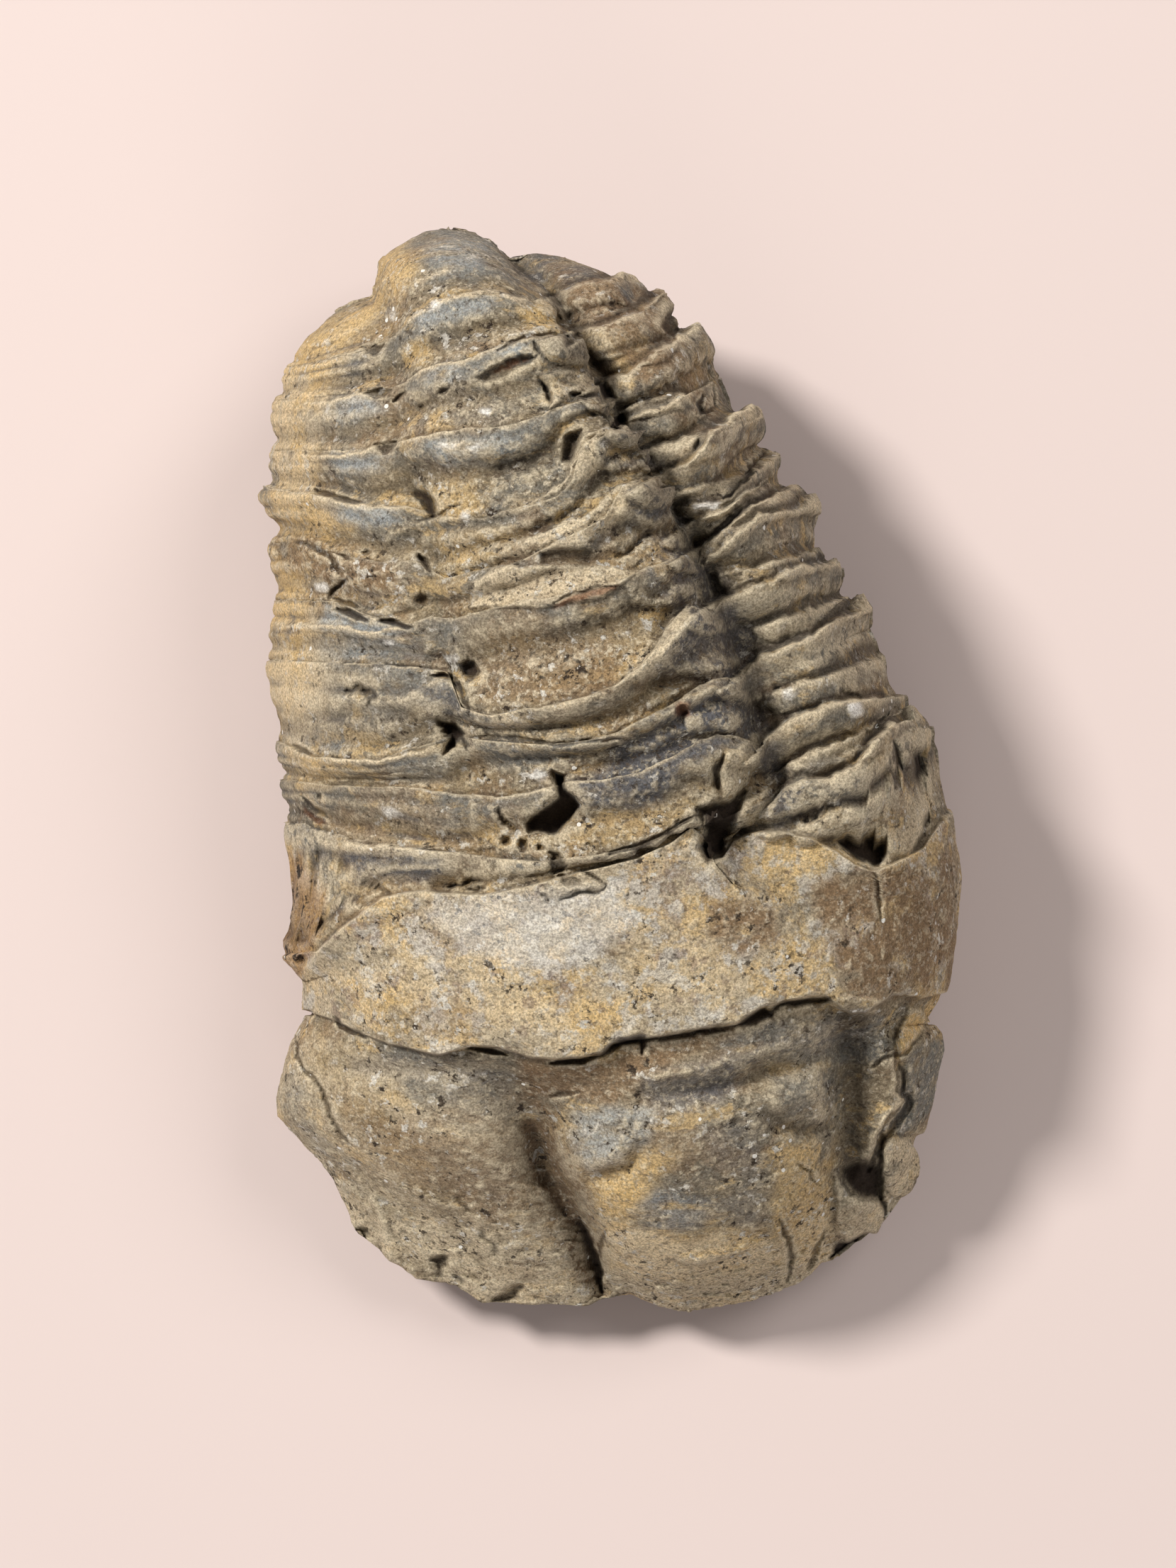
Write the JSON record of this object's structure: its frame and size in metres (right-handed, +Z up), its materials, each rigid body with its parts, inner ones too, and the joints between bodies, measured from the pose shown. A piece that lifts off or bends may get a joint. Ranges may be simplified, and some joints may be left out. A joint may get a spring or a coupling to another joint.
{
  "type": "fossil trilobite",
  "caption": "Partly rolled-up fossil trilobite in stone: ribbed arched back with a raised middle lobe, a rough slab behind the head, a bulging head, resting on a worn flat underside.",
  "frame": {"origin": "centre of the bounding box in plan, on the plane that the worn flat underside rests on", "axes": "+Y toward the tail along the longest extent, +Z up out of the arched back, +X to the right seen from above with the head nearest"},
  "size_m": [0.0556, 0.0834, 0.038],
  "materials": {
    "fossil_stone": "matte, dusty, olive-grey with ochre and blue-grey patches"
  },
  "bodies": {
    "root": {"trilobite_fossil": "fossil_stone"}
  },
  "joints": []
}
